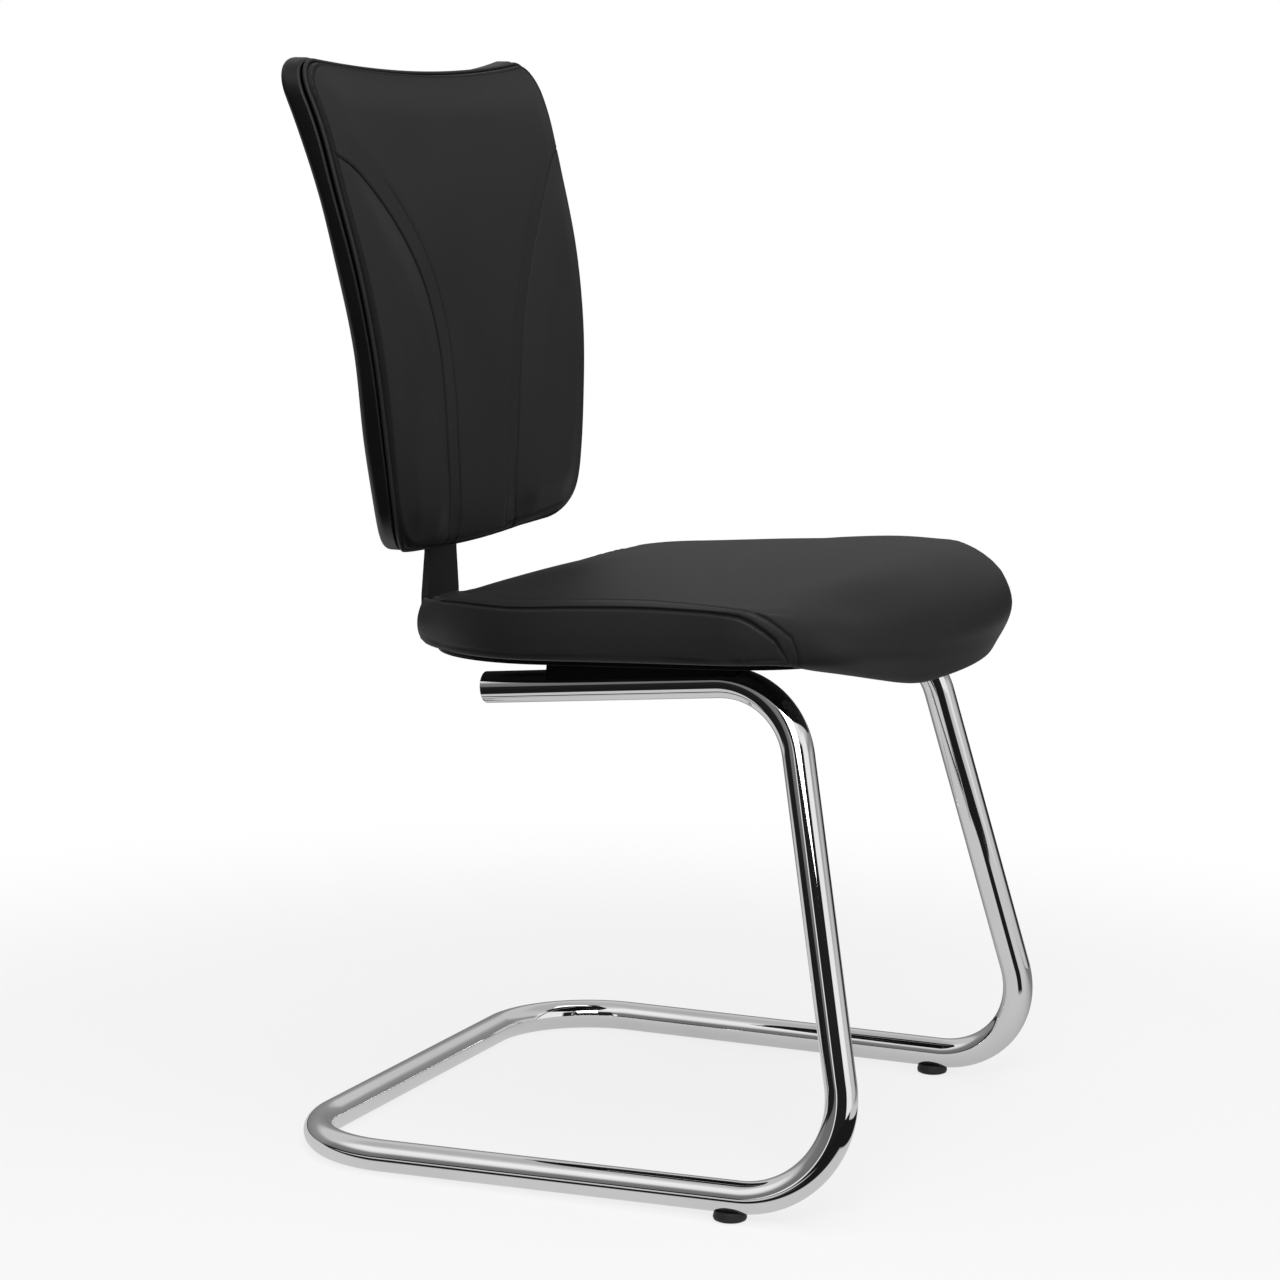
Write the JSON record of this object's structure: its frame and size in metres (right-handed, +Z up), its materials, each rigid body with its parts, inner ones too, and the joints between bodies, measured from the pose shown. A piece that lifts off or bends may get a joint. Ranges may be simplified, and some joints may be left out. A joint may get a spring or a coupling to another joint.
{
  "type": "cantilever visitor chair",
  "caption": "Armless cantilever visitor chair: one bent chrome tube, a padded leather seat and a tall curved padded back on a flat steel bar.",
  "frame": {"origin": "on the floor, under the middle of the chair's outline seen from above", "axes": "+X to the sitter's left, -Y the way the sitter faces, +Z up"},
  "size_m": [0.5094, 0.5066, 0.8612],
  "materials": {
    "chrome_tube": "mirror-bright chrome plate on bent steel tube",
    "black_plastic": "black moulded polypropylene, fine matt texture",
    "glide_plastic": "black moulded glide plastic, scuffed sole",
    "zinc_steel": "zinc-plated steel fasteners",
    "plywood": "moulded beech plywood, bare",
    "foam": "cut polyurethane foam",
    "seat_leather": "smooth black leather with fine grain, double seams",
    "back_leather": "smooth black leather with fine grain, double seams",
    "piping_leather": "black leather cord piping",
    "black_steel": "black powder coat on flat steel",
    "shell_plastic": "black moulded shell, fine matt texture with a smooth rim"
  },
  "bodies": {
    "root": {"cantilever_frame": "chrome_tube", "tube_plug_left": "black_plastic", "tube_plug_right": "black_plastic", "front_glide_left": "glide_plastic", "front_glide_right": "glide_plastic", "seat_saddle_left": "black_plastic", "seat_saddle_right": "black_plastic", "rail_bolts_front": "zinc_steel", "rail_bolts_rear": "zinc_steel", "seat_underpan": "black_plastic", "seat_board": "plywood", "seat_foam": "foam", "seat_cover": "seat_leather", "seat_tee_nuts": "zinc_steel", "back_bar": "black_steel", "bar_seat_bolts": "zinc_steel", "bar_back_bolts": "zinc_steel", "back_tee_nuts": "zinc_steel", "back_inner_board": "plywood", "back_foam": "foam", "back_cover": "back_leather", "back_piping": "piping_leather", "back_shell": "shell_plastic", "shell_clips": "black_plastic"}
  },
  "joints": []
}
